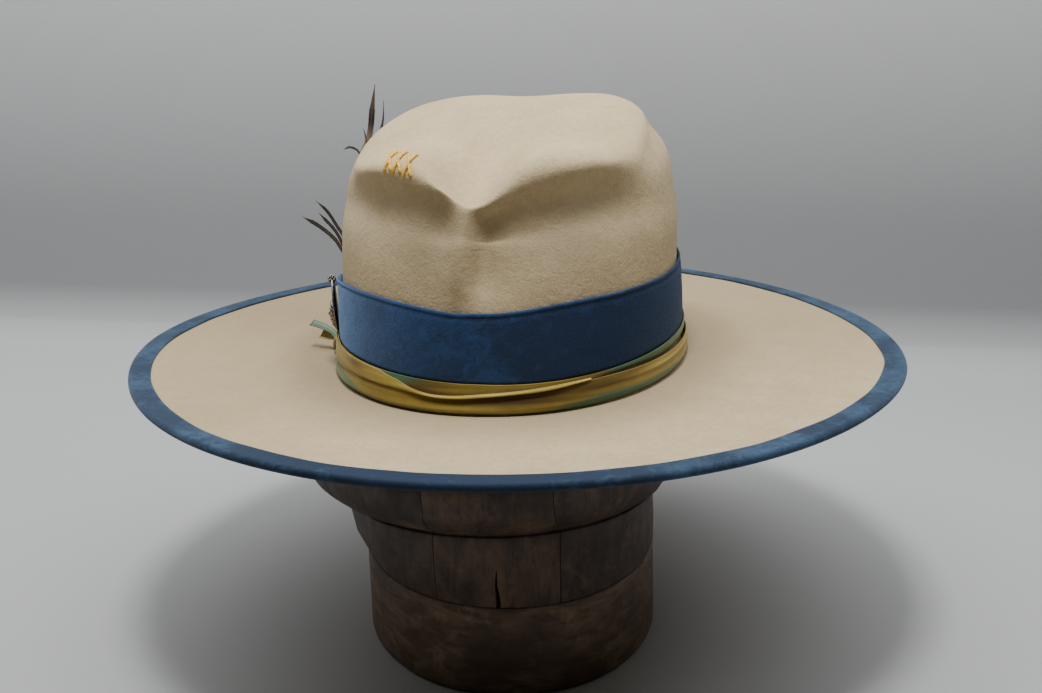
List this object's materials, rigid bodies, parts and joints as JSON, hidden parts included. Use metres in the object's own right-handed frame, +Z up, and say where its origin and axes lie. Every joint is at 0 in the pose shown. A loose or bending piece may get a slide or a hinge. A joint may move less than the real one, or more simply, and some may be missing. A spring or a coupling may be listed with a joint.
{
  "type": "wide-brim hat on a wooden block stand",
  "caption": "Wide-brim felt hat with a pinched teardrop crown, velvet band and bound edge, silk ribbon, brooch and feathers, on a wooden block.",
  "frame": {"origin": "on the floor under the middle of the brim's outline", "axes": "+Z up, the front of the hat faces -Y, +X is the wearer's left"},
  "size_m": [0.3905, 0.4057, 0.2777],
  "materials": {
    "felt": "brushed beaver-style felt, matt",
    "binding_velvet": "cotton velvet, matt with sheen",
    "band_velvet": "cotton velvet, matt with sheen",
    "silk": "plant-dyed silk, satin",
    "silver": "blackened silver",
    "feather": "natural feather",
    "old_wood": "worn, oiled dark wood"
  },
  "bodies": {
    "root": {"felt_body": "felt", "brim_binding": "binding_velvet", "hat_band": "band_velvet", "ribbon_wrap_lower": "silk", "ribbon_wrap_upper": "silk", "ribbon_tie": "silk", "brooch": "silver", "feather_spray": "feather", "stand_base": "old_wood", "stand_block_right": "old_wood", "stand_block_centre": "old_wood", "stand_block_left": "old_wood"}
  },
  "joints": []
}
